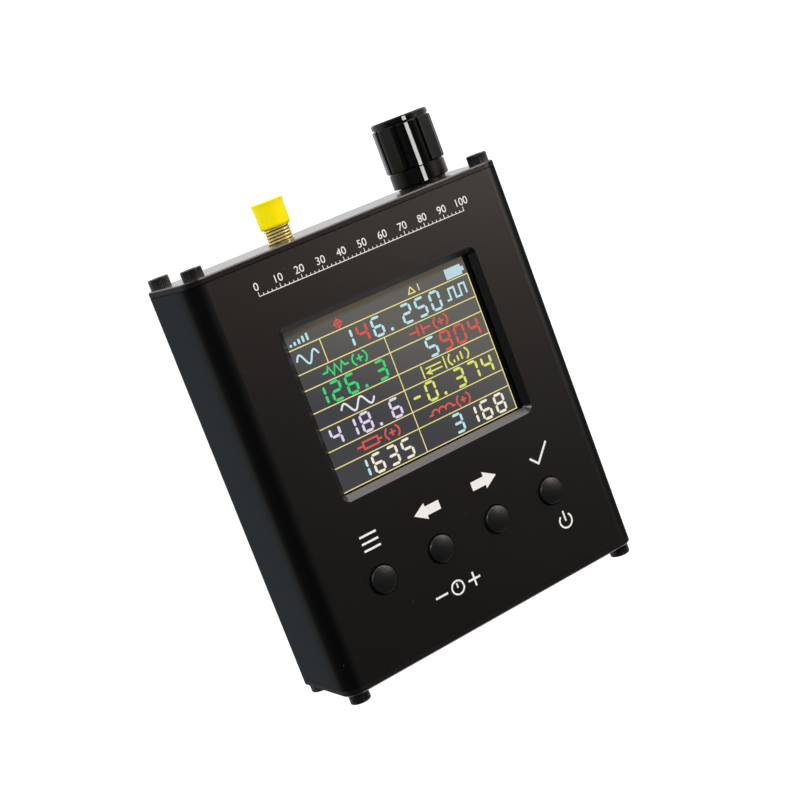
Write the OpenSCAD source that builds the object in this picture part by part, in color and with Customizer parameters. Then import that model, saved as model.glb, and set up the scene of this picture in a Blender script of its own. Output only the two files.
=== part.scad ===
// Handheld antenna analyzer: an extruded metal tube with two screwed end
// plates, a colour display behind a bevelled window, four push buttons,
// a push-and-turn encoder knob and a threaded radio port with its dust cap.
// It lies on its back: +Z comes out of the face, +Y points to the port end
// and +X to the right. The origin is the middle of the back face.

/* [Case] */
// Width of the case across the face
case_w = 83.2; // [82:0.1:92]
// Depth of the case from back to face
case_d = 27.4; // [27:0.1:31]
// Length of the case over both end plates
case_l = 97.6; // [96:0.1:112]
// Radius of the four long edges
edge_r = 4; // [3:0.1:5]
// Thickness of the two side walls
side_wall = 2; // [1.6:0.1:2.6]
// Thickness of the face wall
face_wall = 1.5; // [1.4:0.1:2]
// Thickness of the back wall
back_wall = 2; // [1.6:0.1:2.6]
// Thickness of each end plate
plate_t = 1.5; // [1.2:0.1:2.2]
// Chamfer round the outer rim of each end plate
plate_chamfer = 0.3; // [0.1:0.05:0.5]
// Chamfer round the inner rim of each end plate, which shows as a seam
plate_seam = 0.2; // [0.1:0.05:0.3]
// How far the board ribs stand out of the side walls
rib_out = 1.8; // [1.2:0.1:2.4]
// Thickness of one board rib
rib_t = 1.2; // [0.8:0.1:1.4]

/* [Plate screws] */
// Distance of each screw from the case's two nearest faces
screw_inset = 3.4; // [3.2:0.1:4]
// Diameter of the screw's shank
screw_d = 2.4; // [2:0.1:2.8]
// Length of the shank under the head
screw_l = 8; // [6:0.5:12]
// Diameter of the screw's head
head_d = 4.8; // [4.4:0.1:5.6]
// Height of the screw's head
head_h = 2.4; // [2:0.1:3]
// Width across the flats of the hexagon socket
key_af = 2; // [1.5:0.1:2.5]
// Depth of the hexagon socket
key_depth = 1.1; // [0.8:0.1:1.4]
// Wall of the screw channel round its hole
boss_wall = 2; // [1.6:0.1:2.4]

/* [Display] */
// Face to the left of the picture
face_left = 17.12; // [16.5:0.01:18.5]
// Face to the right of the picture
face_right = 17.12; // [16.5:0.01:18.5]
// Face above the picture, end plate included
face_top = 19.21; // [18:0.01:22]
// Height of the picture
picture_h = 36.72; // [34:0.01:38]
// How much wider the window's inner edge is than the picture
window_extra_w = 1.39; // [1:0.01:1.8]
// How much higher the window's inner edge is than the picture
window_extra_h = 1.58; // [1.2:0.01:1.8]
// How far the window sits to the right of the picture's middle
window_shift = 0.53; // [0:0.01:0.8]
// How far the window sits above the picture's middle
window_rise = 0.47; // [0:0.01:0.7]
// How far the window's walls lean outwards up to the face
window_slope = 1.5; // [0.6:0.05:1.8]
// Corner radius at the window's inner edge
window_r = 0.4; // [0.3:0.1:2]
// How far the display module reaches left of the picture
border_left = 8.1; // [7.8:0.01:8.4]
// How far the display module reaches right of the picture
border_right = 3.2; // [3:0.01:4]
// How far the display module reaches above and below the picture
border_ends = 3; // [2.8:0.01:4]
// Bare ledge of glass that carries the flat cable
ledge_w = 5; // [3:0.1:6]
// Thickness of each of the two glass layers
glass_t = 0.65; // [0.5:0.05:0.7]
// Thickness of the light guide under the glass
guide_t = 0.9; // [0.6:0.1:1.2]
// Wall of the module's tray
tray_wall = 0.5; // [0.3:0.05:0.8]
// Thickness of the foam gasket behind the window
gasket_t = 0.5; // [0.3:0.05:0.8]
// Thickness of the flat cable
flex_t = 0.15; // [0.1:0.01:0.2]
// Width of the flat cable
flex_w = 24; // [18:0.5:30]
// Depth of the flat cable's socket
flex_socket_l = 3.6; // [3:0.1:5]
// Height of the flat cable's socket
flex_socket_h = 2; // [1.8:0.1:2.2]

/* [Buttons] */
// Distance between neighbouring buttons
button_pitch = 16; // [12:0.1:17]
// Distance of the button row from the bottom end
button_inset = 20.8; // [16:0.1:22]
// Diameter of the button holes in the face
button_hole_d = 7; // [6.8:0.05:8]
// Diameter of the button caps
cap_d = 6.4; // [5.6:0.05:6.6]
// How far the caps stand out of the face
cap_proud = 1.1; // [0.7:0.05:1.6]
// Height of the cap's domed top
dome_h = 0.45; // [0.2:0.05:0.6]
// Radius of the cap's upper edge
cap_edge_r = 0.4; // [0.1:0.05:0.5]
// How far a button goes down
press_travel = 0.3; // [0.2:0.05:0.35]
// Side of the square switch under each button
switch_w = 6; // [5:0.1:7]
// Height of the switch's housing
switch_h = 3.5; // [3:0.1:3.6]
// Diameter of the switch's plunger
stem_d = 3.5; // [3:0.1:3.8]
// Height of the plunger's top over the board
stem_h = 5; // [4.8:0.1:5.2]

/* [Boards] */
// Thickness of the circuit boards
board_t = 1.6; // [1.2:0.1:1.6]
// How far the display board's upper side lies below the face
board_drop = 8; // [7.8:0.1:8.2]
// Distance between the display board and the main board
board_space = 3.3; // [3.1:0.1:3.6]
// Room left over the shielding can
shield_room = 0.8; // [0.6:0.1:1.2]
// Width of the shielding can
shield_w = 34; // [24:1:40]
// Length of the shielding can
shield_l = 25; // [16:1:25]
// Thickness of the shielding can's sheet
shield_t = 0.3; // [0.2:0.05:0.4]
// Side of the square processor
chip_w = 12; // [8:1:16]
// Middle of the processor, left of the centre line
chip_x = 18; // [10:1:24]
// Middle of the processor, below the board's middle
chip_y = 18; // [10:1:24]
// Thickness of the processor
chip_t = 1.4; // [0.8:0.1:1.6]
// Length of the header that joins the boards
header_l = 25.4; // [15.24:2.54:30.48]
// Width of the header that joins the boards
header_w = 5; // [4:0.1:6]

/* [Encoder and knob] */
// Distance of the knob axis from the case's right side
knob_inset = 13.5; // [12.6:0.1:16]
// Height of the knob
knob_h = 16; // [15.6:0.1:18]
// Gap between the knob and the end plate
knob_gap = 0.8; // [0.7:0.05:1.2]
// Diameter over the fluted grip
grip_d = 14.25; // [13.9:0.05:15]
// How deep the flats between the flutes are cut
grip_flat = 0.175; // [0.1:0.005:0.25]
// Diameter of the smooth rim above the grip
rim_d = 13.75; // [13.3:0.05:13.8]
// Height of the smooth rim
rim_h = 1.6; // [1:0.1:2.5]
// Diameter of the smooth skirt below the grip
skirt_d = 13.55; // [13.3:0.05:13.6]
// Height of the smooth skirt
skirt_h = 3.8; // [2.8:0.1:4.2]
// Number of flutes round the grip
flutes = 8; // [6:1:12]
// Width of one flute
flute_w = 0.9; // [0.6:0.05:1.2]
// Depth of one flute
flute_depth = 0.6; // [0.3:0.05:0.8]
// Depth and width of the ring grooves that part rim, grip and skirt
ring_groove = 0.3; // [0.2:0.05:0.4]
// Chamfer round the knob's top
knob_chamfer = 0.35; // [0.2:0.05:0.6]
// Width of the white pointer strip
pointer_w = 0.9; // [0.6:0.05:1.4]
// Depth of the white pointer strip in the knob
pointer_depth = 0.4; // [0.3:0.05:0.5]
// Turn of the pointer from straight up towards the left side
pointer_turn = 20; // [0:1:45]
// Diameter of the encoder's shaft
shaft_d = 6; // [5.6:0.1:6.2]
// Length of the shaft from the back of the end plate
shaft_l = 15; // [14.6:0.1:15.2]
// Depth of the flat on the shaft
flat_depth = 1.5; // [1:0.1:1.8]
// Length of the flat on the shaft
flat_l = 7; // [5:0.1:7.2]
// Diameter of the encoder's threaded bushing
bushing_d = 7; // [6.8:0.1:7.4]
// How far the bushing stands out of the end plate
bushing_out = 5; // [4:0.1:5.2]
// Width and height of the encoder's housing
encoder_w = 11.6; // [11:0.1:12]
// Depth of the encoder's housing
encoder_t = 4.6; // [4.2:0.1:5.2]
// Width across the flats of the encoder's nut
nut_af = 10; // [9.4:0.1:10.2]
// Thickness of the encoder's nut
nut_t = 2; // [1.5:0.1:2.2]
// Diameter of the washer under the nut
washer_d = 11.6; // [10.8:0.1:11.8]
// Thickness of the washer under the nut
washer_t = 0.5; // [0.3:0.05:0.6]
// How far the knob goes down when it is pushed
push_travel = 0.5; // [0.3:0.05:0.6]

/* [Radio port] */
// Distance of the port axis from the case's left side
port_inset = 30.3; // [27:0.1:33]
// Diameter over the port's thread
thread_d = 6.2; // [6:0.05:6.35]
// How far the barrel stands out of the end plate
barrel_h = 8.3; // [7.6:0.1:9]
// Side of the port's square base
port_base_w = 6.6; // [6.5:0.1:7.5]
// Thickness of the port's square base
port_base_t = 2; // [1.5:0.1:2.5]
// Diameter of the white insulator
insulator_d = 4.1; // [3.6:0.1:4.4]
// Diameter of the centre contact
contact_d = 1.27; // [1.1:0.01:1.5]
// Bare length of thread under the dust cap
cap_lift = 3.55; // [3:0.05:4.2]
// Height of the dust cap
dust_h = 6.1; // [5.8:0.1:7]
// Diameter of the dust cap
dust_d = 7.25; // [7.1:0.05:8]
// How far the dust cap's top rim stands out
dust_rim = 0.15; // [0.05:0.01:0.3]
// Height of the rounding round the dust cap's mouth
dust_round = 0.7; // [0.3:0.1:1]
// How much the dust cap narrows towards its mouth
dust_draw = 0.06; // [0:0.01:0.15]
// Height of the flare at the dust cap's closed end
dust_flare_h = 1.9; // [1:0.1:2.5]
// Bevel round the dust cap's closed end
dust_bevel = 0.15; // [0.05:0.05:0.3]
// How far the dust cap can be drawn off
dust_travel = 12; // [8:1:20]

/* [Power] */
// Width of the battery
battery_w = 50; // [40:1:60]
// Length of the battery
battery_l = 60; // [50:1:60]
// Room left between the battery and the main board
battery_room = 2.3; // [2.1:0.1:4]
// Middle of the battery, below the case's middle
battery_shift = 12; // [10:0.5:13]
// Thickness of the pad under the battery
pad_t = 0.6; // [0.4:0.1:0.8]
// Diameter of one battery lead
lead_d = 1.3; // [1:0.1:1.6]
// Distance between the two battery leads
lead_pitch = 2; // [1.8:0.1:2.5]
// Radius of the leads' two bends
lead_bend = 1.5; // [1.2:0.1:1.8]
// Width of the battery plug
plug_w = 5.8; // [5:0.1:7]
// Length of the battery plug
plug_l = 6; // [5:0.1:7]
// Height of the battery plug
plug_h = 3.4; // [3:0.1:4]
// Wall of the battery socket round the plug
socket_wall = 0.95; // [0.6:0.05:1.2]
// Width of the charging socket's shell
usb_w = 7.5; // [7:0.1:8]
// Height of the charging socket's shell
usb_h = 2.5; // [2.2:0.1:2.6]
// Depth of the charging socket's shell
usb_l = 5.5; // [5:0.1:6]
// How far the charging socket reaches into the end plate
usb_reach = 0.9; // [0.5:0.1:1.1]

/* [Fits] */
// Radial clearance of parts that turn or slide on each other
run_gap = 0.05; // [0.03:0.01:0.09]
// Clearance of parts that stand beside each other
seat_gap = 0.1; // [0.05:0.01:0.15]
// Clearance of the boards' edges in the tube
board_gap = 0.3; // [0.2:0.05:0.4]

/* [Hidden] */

$fn = 64;
cut = 1;                                  // how far a cutting shape overshoots
case_black = [0.12, 0.115, 0.11];
board_green = [0.05, 0.32, 0.2];
gold = [0.83, 0.65, 0.25];
steel = [0.72, 0.72, 0.74];

tube_l = case_l - 2 * plate_t;
tube_end = tube_l / 2;                    // inner side of each end plate
side_x = case_w / 2;
inner_w = case_w - 2 * side_wall;
ceiling_z = case_d - face_wall;           // inner side of the face wall
mid_z = case_d / 2;
boss_r = screw_d / 2 + run_gap + boss_wall;
plate_hole_r = screw_d / 2 + seat_gap + run_gap;

glass_top_z = ceiling_z - gasket_t;       // picture surface
ledge_z = glass_top_z - glass_t;
tray_floor_z = ledge_z - glass_t;
tray_z = tray_floor_z - guide_t;
board_top_z = case_d - board_drop;        // display board
board_low_z = board_top_z - board_t;
main_top_z = board_low_z - board_space;   // main board
main_low_z = main_top_z - board_t;
axis_z = main_top_z - board_t / 2;        // height of the port and knob axes
picture_w = case_w - face_left - face_right;
picture_x = (face_left - face_right) / 2;
picture_y = case_l / 2 - face_top - picture_h / 2;
button_y = button_inset - case_l / 2;
window_x = picture_x + window_shift;
window_y = picture_y + window_rise;
window_w = picture_w + window_extra_w;
window_h = picture_h + window_extra_h;
module_w = picture_w + border_left + border_right;
module_h = picture_h + 2 * border_ends;
module_left = picture_x - picture_w / 2 - border_left;
module_right = module_left + module_w;
module_x = module_left + module_w / 2;
glass_w = module_w - 2 * (tray_wall + run_gap);
glass_h = module_h - 2 * (tray_wall + run_gap);

cap_low_z = board_top_z + switch_h + press_travel + seat_gap;
cap_top_z = case_d + cap_proud;
stem_low_z = board_top_z + switch_h / 2;
stem_top_z = board_top_z + stem_h;

// places along the knob axis, from the back of the end plate outwards
flange_t = 1.4;                           // bushing's square flange
housing_y = -flange_t - encoder_t;        // back of the encoder's housing
housing_floor = 1;
rotor_low_y = housing_y + housing_floor + seat_gap;
rotor_high_y = -flange_t - push_travel;
shoulder_y = -flange_t + 0.2;             // where the shaft grows to full size
drive_low_y = rotor_low_y + push_travel;
rest_gap = 0.05;                          // left under a part that is pushed home
tail_low_y = housing_y - 0.2;
switch_recess_y = tail_low_y - push_travel - rest_gap;
switch_back_y = switch_recess_y - 0.85;
frame_t = 0.3;
frame_back_y = switch_back_y - frame_t;
encoder_board_t = 1.2;
encoder_board_y = frame_back_y - encoder_board_t;
encoder_board_w = encoder_w + 1.6;
grip_af = grip_d - 2 * grip_flat;
knob_x = side_x - knob_inset;
notch_x = knob_x - encoder_board_w / 2 - board_gap;
knob_low_y = plate_t + knob_gap;
knob_high_y = knob_low_y + knob_h;
grip_low_y = knob_low_y + skirt_h;
grip_high_y = knob_high_y - rim_h;
nut_high_y = plate_t + washer_t + nut_t;
nut_well_r = max(washer_d / 2, nut_af / 2 / cos(30)) + 0.2;
nut_well_y = nut_high_y + push_travel + 0.3;
bushing_well_y = plate_t + bushing_out + push_travel + 0.3;
flat_y = shaft_l - flat_l;
drive_r = shaft_d / 2 - 0.55;             // shaft where it drives the rotor
drive_flat = drive_r - 0.7;
tail_r = 1.6;

// places along the port axis, from the back of the end plate outwards
port_x = side_x - port_inset;
barrel_top_y = plate_t + barrel_h;
face_recess = 2;                          // depth of the port's open mouth
dust_low_y = plate_t + cap_lift;
dust_top_y = dust_low_y + dust_h;
leg_l = 4;
leg_w = 0.9;

shield_h = board_space - shield_room;

battery_y = -battery_shift;
battery_z = back_wall + pad_t;
battery_t = main_low_z - battery_room - battery_z;
battery_end_y = battery_y + battery_l / 2;
seal_t = battery_t * 0.55;                // battery's flat sealed end
lead_z = battery_z + seal_t * 0.6;        // where the leads leave the seal
lead_out = 1;                             // straight stretch before the bend
plug_x = -19;
plug_y = battery_end_y + lead_out + 2 * lead_bend + 0.5;
plug_z = main_low_z - plug_h / 2 - socket_wall + 0.15;
// way of the battery leads, from the battery's end to the plug's back
lead_way = [
    for (p = concat(
        [[battery_end_y, lead_z]],
        arc([battery_end_y + lead_out, lead_z + lead_bend], lead_bend, -90, 0, 4),
        arc([battery_end_y + lead_out + 2 * lead_bend, plug_z - lead_bend],
            lead_bend, 180, 90, 4),
        [[plug_y, plug_z]]
    )) [0, p[0], p[1]]
];
lead_sides = 8;

// ---- shared shapes -------------------------------------------------------

// flat outline with round corners, made of squares and circles
module rounded(w, h, r) {
    square([w, h - 2 * r], center = true);
    square([w - 2 * r, h], center = true);
    for (sx = [-1, 1], sy = [-1, 1])
        translate([sx * (w / 2 - r), sy * (h / 2 - r)]) circle(r = r);
}

// outline in the X-Z plane drawn out along Y
module along_y(y, l) {
    translate([0, y + l, 0]) rotate([90, 0, 0]) linear_extrude(l) children();
}

// outline in the Y-Z plane drawn out along X
module along_x(x, l) {
    translate([x, 0, 0]) rotate([90, 0, 90]) linear_extrude(l) children();
}

// round bar along Y
module bar_y(r, y, l, r2 = undef) {
    translate([0, y, 0]) rotate([-90, 0, 0])
        cylinder(r1 = r, r2 = is_undef(r2) ? r : r2, h = l);
}

// block with round corners whose walls lean out by grow over its height
module flared(w, h, r, t, grow) {
    for (sx = [-1, 1], sy = [-1, 1])
        translate([sx * (w / 2 - r), sy * (h / 2 - r), 0])
            cylinder(r1 = r, r2 = r + grow, h = t);
    along_x(-w / 2 + r, w - 2 * r)
        polygon([[-h / 2, 0], [h / 2, 0], [h / 2 + grow, t], [-h / 2 - grow, t]]);
    along_y(-h / 2 + r, h - 2 * r)
        polygon([[-w / 2, 0], [w / 2, 0], [w / 2 + grow, t], [-w / 2 - grow, t]]);
}

// places a copy at each of the four screws, seen in the X-Z plane
module at_screws() {
    for (sx = [-1, 1], z = [screw_inset, case_d - screw_inset])
        translate([sx * (case_w / 2 - screw_inset), z]) children();
}

function button_x(i) = (i - 1.5) * button_pitch;
function arc(c, r, a0, a1, n = 8) =
    [for (i = [0:n]) let (a = a0 + (a1 - a0) * i / n) c + r * [cos(a), sin(a)]];

// ---- case ----------------------------------------------------------------

// pair of ribs on both side walls that hold a board's edges
module board_ribs(low_z) {
    for (s = [-1, 1], z = [low_z - seat_gap - rib_t, low_z + board_t + seat_gap])
        translate([s * (inner_w / 2 - rib_out / 2 + side_wall / 4), z + rib_t / 2])
            square([rib_out + side_wall / 2, rib_t], center = true);
}

module tube_outline() {
    difference() {
        union() {
            difference() {
                translate([0, mid_z]) rounded(case_w, case_d, edge_r);
                translate([-inner_w / 2, back_wall])
                    square([inner_w, ceiling_z - back_wall]);
            }
            intersection() {
                translate([0, mid_z]) rounded(case_w, case_d, edge_r);
                at_screws() circle(r = boss_r);
            }
            board_ribs(board_low_z);
            board_ribs(main_low_z);
        }
        at_screws() circle(r = screw_d / 2 + run_gap);
    }
}

module window_cut() {
    lean = window_slope / face_wall;
    translate([window_x, window_y, ceiling_z]) {
        flared(window_w, window_h, window_r, face_wall + cut, lean * (face_wall + cut));
        translate([0, 0, -cut]) flared(window_w, window_h, window_r, 2 * cut, 0);
    }
}

module case_tube() {
    color(case_black)
    difference() {
        along_y(-tube_end, tube_l) tube_outline();
        window_cut();
        for (i = [0:3])
            translate([button_x(i), button_y, ceiling_z - cut])
                cylinder(d = button_hole_d, h = face_wall + 2 * cut);
    }
}

// end plate with its chamfered rim outwards, on the +Y end
module end_plate() {
    seam = plate_seam;
    translate([0, tube_end, mid_z]) rotate([-90, 0, 0]) {
        flared(case_w - 2 * seam, case_d - 2 * seam, edge_r - seam, seam, seam);
        translate([0, 0, seam])
            flared(case_w, case_d, edge_r, plate_t - plate_chamfer - seam, 0);
        translate([0, 0, plate_t - plate_chamfer])
            flared(case_w, case_d, edge_r, plate_chamfer, -plate_chamfer);
    }
}

module plate_screw_holes() {
    along_y(tube_end - cut, plate_t + 2 * cut) at_screws() circle(r = plate_hole_r);
}

module top_plate() {
    color(case_black)
    difference() {
        end_plate();
        plate_screw_holes();
        on_knob_axis() bar_y(bushing_d / 2 + run_gap, -cut, plate_t + 2 * cut);
        on_port_axis() bar_y(thread_d / 2 + seat_gap, -cut, plate_t + 2 * cut);
    }
}

module bottom_plate() {
    slot_h = usb_h + 0.8;
    slot_w = usb_w + 0.8;
    color(case_black)
    difference() {
        mirror([0, 1, 0]) end_plate();
        mirror([0, 1, 0]) plate_screw_holes();
        along_y(-tube_end - plate_t - cut, plate_t + 2 * cut)
            translate([0, main_top_z + usb_h / 2]) rounded(slot_w, slot_h, slot_h / 2.2);
    }
}

module plate_screw() {
    difference() {
        union() {
            bar_y(head_d / 2, 0, head_h - 0.25);
            bar_y(head_d / 2, head_h - 0.25, 0.25, head_d / 2 - 0.25);
            bar_y(screw_d / 2, -screw_l, screw_l + 0.1);
        }
        translate([0, head_h - key_depth, 0]) rotate([-90, 0, 0])
            cylinder(r = key_af / 2 / cos(30), h = key_depth + cut, $fn = 6);
    }
}

module plate_screws() {
    color([0.08, 0.08, 0.08])
    for (end = [0, 1]) mirror([0, end, 0])
        for (sx = [-1, 1], z = [screw_inset, case_d - screw_inset])
            translate([sx * (case_w / 2 - screw_inset), tube_end + plate_t, z])
                plate_screw();
}

// ---- display -------------------------------------------------------------

module display_gasket() {
    rim = 0.3;
    out_left = module_left + tray_wall + run_gap + ledge_w + rim;
    out_w = module_right - tray_wall - run_gap - rim - out_left;
    color([0.07, 0.07, 0.07])
    translate([0, 0, glass_top_z])
    linear_extrude(gasket_t)
    difference() {
        translate([out_left + out_w / 2, picture_y])
            square([out_w, glass_h - 2 * rim], center = true);
        translate([window_x, window_y])
            rounded(window_w + 2 * rim, window_h + 2 * rim, window_r);
    }
}

module display_glass() {
    color([0.2, 0.2, 0.22]) {
        translate([module_x, picture_y, tray_floor_z + glass_t / 2])
            cube([glass_w, glass_h, glass_t], center = true);
        translate([module_x + ledge_w / 2, picture_y, ledge_z + glass_t / 2])
            cube([glass_w - ledge_w, glass_h, glass_t], center = true);
    }
}

module display_tray() {
    wall_h = guide_t + glass_t - seat_gap;
    color([0.85, 0.85, 0.85])
    difference() {
        translate([module_x, picture_y, tray_z + wall_h / 2])
            cube([module_w, module_h, wall_h], center = true);
        translate([module_x, picture_y, tray_floor_z + cut / 2])
            cube([glass_w + 2 * run_gap, glass_h + 2 * run_gap, cut], center = true);
    }
}

module display_bracket() {
    bracket_h = tray_z - board_top_z;
    bar = 4;
    bracket_w = module_w - ledge_w - bar;
    color([0.15, 0.15, 0.15])
    translate([module_right - bracket_w / 2 - 1, picture_y, board_top_z])
    linear_extrude(bracket_h)
    difference() {
        rounded(bracket_w, module_h - 2, 1);
        for (s = [-1, 1])
            translate([s * (bracket_w - bar) / 4, 0])
                rounded((bracket_w - 3 * bar) / 2, module_h - 2 - 2 * bar, 1);
    }
}

// the flat cable leaves the ledge, turns round the tray and lies on its socket
module display_flex() {
    socket_top_z = board_top_z + flex_socket_h;
    high_z = ledge_z + flex_t;
    bend_r = (high_z - socket_top_z) / 2;
    bend_x = module_left - 0.2;
    color([0.75, 0.5, 0.15])
    along_y(picture_y - flex_w / 2, flex_w) {
        translate([bend_x, ledge_z])
            square([tray_wall + ledge_w * 0.6, flex_t]);
        translate([bend_x, socket_top_z])
            square([flex_socket_l * 0.8, flex_t]);
        difference() {
            translate([bend_x, socket_top_z + bend_r]) circle(r = bend_r);
            translate([bend_x, socket_top_z + bend_r]) circle(r = bend_r - flex_t);
            translate([bend_x, socket_top_z - cut]) square([2 * bend_r, 2 * bend_r + 2 * cut]);
        }
    }
}

module flex_socket() {
    margin = 1.5;
    color([0.9, 0.88, 0.8])
    translate([module_left - 0.2, picture_y - flex_w / 2 - margin, board_top_z])
        cube([flex_socket_l, flex_w + 2 * margin, flex_socket_h]);
}

// board that fills the tube, with the corner left free for the encoder
module board(low_z) {
    w = inner_w - 2 * board_gap;
    l = tube_l - 2 * board_gap;
    translate([0, 0, low_z])
    linear_extrude(board_t)
    difference() {
        square([w, l], center = true);
        translate([notch_x, tube_end + encoder_board_y - rest_gap]) square([w, l]);
        children();
    }
}

module display_board() {
    color(board_green) board(board_low_z);
}

// ---- buttons -------------------------------------------------------------

module tact_switches() {
    color([0.1, 0.1, 0.1])
    for (i = [0:3])
        translate([button_x(i), button_y, board_top_z])
        difference() {
            translate([0, 0, switch_h / 2])
                cube([switch_w, switch_w, switch_h], center = true);
            translate([0, 0, stem_low_z - board_top_z - press_travel - rest_gap])
                cylinder(r = stem_d / 2 + run_gap, h = switch_h);
        }
}

function dome_outline() =
    let (
        r = cap_d / 2,
        in_r = r - cap_edge_r,
        dome_r = (r * r + dome_h * dome_h) / (2 * dome_h),
        dome_z = cap_top_z - dome_r,
        fillet_r = dome_r - cap_edge_r,
        rise = sqrt(fillet_r * fillet_r - in_r * in_r),
        edge_a = atan2(in_r, rise)
    )
    concat(
        [[0, cap_low_z], [r - 0.1, cap_low_z], [r, cap_low_z + 0.1]],
        arc([in_r, dome_z + rise], cap_edge_r, 0, 90 - edge_a, 6),
        [for (i = [1:8]) let (a = edge_a * (1 - i / 8))
            [dome_r * sin(a), dome_z + dome_r * cos(a)]]
    );

module button_cap(i) {
    color([0.09, 0.09, 0.095])
    translate([button_x(i), button_y, 0])
    difference() {
        rotate_extrude() polygon(dome_outline());
        translate([0, 0, cap_low_z - cut])
            cylinder(r = stem_d / 2 + run_gap, h = stem_top_z + run_gap - cap_low_z + cut);
    }
}

module plunger(i) {
    color([0.25, 0.25, 0.25])
    translate([button_x(i), button_y, stem_low_z])
        cylinder(d = stem_d, h = stem_top_z - stem_low_z);
}

// ---- encoder and knob ----------------------------------------------------

module on_knob_axis() {
    translate([knob_x, tube_end, axis_z]) children();
}

// outer form of the knob: skirt, grip and rim, parted by ring grooves
module knob_form() {
    g = ring_groove;
    skirt = skirt_d / 2;
    grip = grip_d / 2;
    rim = rim_d / 2;
    rotate([-90, 0, 0])
    rotate_extrude()
    polygon([
        [0, knob_low_y], [skirt - g / 2, knob_low_y],
        [skirt, knob_low_y + g / 2], [skirt, grip_low_y - g],
        [skirt - g, grip_low_y - g], [skirt - g, grip_low_y],
        [grip - g, grip_low_y], [grip, grip_low_y + g],
        [grip, grip_high_y - g], [grip - g, grip_high_y],
        [rim - g, grip_high_y], [rim - g, grip_high_y + g],
        [rim, grip_high_y + g], [rim, knob_high_y - knob_chamfer],
        [rim - knob_chamfer, knob_high_y], [0, knob_high_y]
    ]);
}

// the pointer's three strips, laid in the skirt, the grip and the rim
module pointer_strips(w, under, over) {
    for (part = [
        [skirt_d / 2, knob_low_y, grip_low_y - ring_groove],
        [grip_af / 2, grip_low_y, grip_high_y - ring_groove],
        [rim_d / 2, grip_high_y + ring_groove, knob_high_y - knob_chamfer]
    ])
        rotate([0, -pointer_turn, 0])
        translate([-w / 2, part[1], part[0] - pointer_depth - under])
            cube([w, part[2] - part[1], pointer_depth + under + over]);
}

// shaft outline with its flat, seen along the axis
module flatted(r, depth) {
    difference() {
        circle(r = r);
        translate([-r, r - depth]) square([2 * r, depth + cut]);
    }
}

module knob() {
    grip_l = grip_high_y - grip_low_y;
    bore_r = shaft_d / 2 + run_gap;
    color([0.05, 0.05, 0.055])
    on_knob_axis()
    difference() {
        knob_form();
        rotate([0, -pointer_turn, 0]) {
            for (i = [0:flutes - 1]) rotate([0, (i + 0.5) * 360 / flutes, 0]) {
                along_y(grip_low_y, grip_l)
                    polygon([[-flute_w / 2, grip_d / 2 + 0.1], [flute_w / 2, grip_d / 2 + 0.1],
                        [flute_w / 8, grip_d / 2 - flute_depth], [-flute_w / 8, grip_d / 2 - flute_depth]]);
            }
            for (i = [0:flutes - 1]) rotate([0, i * 360 / flutes, 0])
                translate([-grip_d / 2, grip_low_y, grip_af / 2])
                    cube([grip_d, grip_l, grip_d]);
        }
        pointer_strips(pointer_w, 0.02, cut);
        bar_y(nut_well_r, knob_low_y - cut, nut_well_y - knob_low_y + cut);
        bar_y(bushing_d / 2 + 0.4, knob_low_y, bushing_well_y - knob_low_y);
        bar_y(bore_r, knob_low_y, flat_y - rest_gap - knob_low_y);
        along_y(flat_y - 2 * rest_gap, flat_l + 4 * rest_gap) flatted(bore_r, flat_depth);
    }
}

module knob_pointer() {
    color("white") on_knob_axis() pointer_strips(pointer_w - 0.04, 0, -0.015);
}

module encoder_shaft() {
    root = 0.1;                           // how far one step reaches into the next
    color(steel)
    on_knob_axis() {
        difference() {
            bar_y(shaft_d / 2, shoulder_y, shaft_l - shoulder_y);
            translate([-shaft_d / 2, flat_y, shaft_d / 2 - flat_depth])
                cube([shaft_d, flat_l + cut, flat_depth + cut]);
        }
        along_y(drive_low_y, shoulder_y - drive_low_y + root)
        intersection() {
            circle(r = drive_r);
            square([2 * drive_r, 2 * drive_flat], center = true);
        }
        bar_y(tail_r, tail_low_y, drive_low_y - tail_low_y + root);
    }
}

module encoder_rotor() {
    color([0.85, 0.83, 0.78])
    on_knob_axis()
    along_y(rotor_low_y, rotor_high_y - rotor_low_y)
    difference() {
        circle(r = encoder_w / 2 - 1.1);
        intersection() {
            circle(r = drive_r + run_gap);
            square([2 * (drive_r + run_gap), 2 * (drive_flat + run_gap)], center = true);
        }
    }
}

module encoder_housing() {
    color([0.12, 0.13, 0.12])
    on_knob_axis()
    difference() {
        along_y(housing_y, encoder_t) square(encoder_w, center = true);
        bar_y(encoder_w / 2 - 1, housing_y + housing_floor, encoder_t);
        bar_y(tail_r + seat_gap, housing_y - cut, encoder_t);
    }
}

module encoder_bushing() {
    color(steel)
    on_knob_axis()
    difference() {
        union() {
            along_y(-flange_t, flange_t) square([encoder_w, encoder_w + 0.8], center = true);
            bar_y(bushing_d / 2, 0, plate_t + bushing_out - 0.3);
            bar_y(bushing_d / 2, plate_t + bushing_out - 0.3, 0.3, bushing_d / 2 - 0.3);
        }
        bar_y(shaft_d / 2 + run_gap, -flange_t - cut, flange_t + plate_t + bushing_out + 2 * cut);
    }
}

// bent strap that clamps housing, switch and bushing together
module encoder_frame() {
    half = encoder_w / 2 + run_gap;
    strap_w = 5;
    color(steel)
    on_knob_axis()
    translate([0, 0, -strap_w / 2])
    linear_extrude(strap_w)
    difference() {
        translate([-half - frame_t, frame_back_y])
            square([2 * (half + frame_t), -frame_back_y - seat_gap]);
        translate([-half, switch_back_y]) square([2 * half, -switch_back_y]);
    }
}

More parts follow.
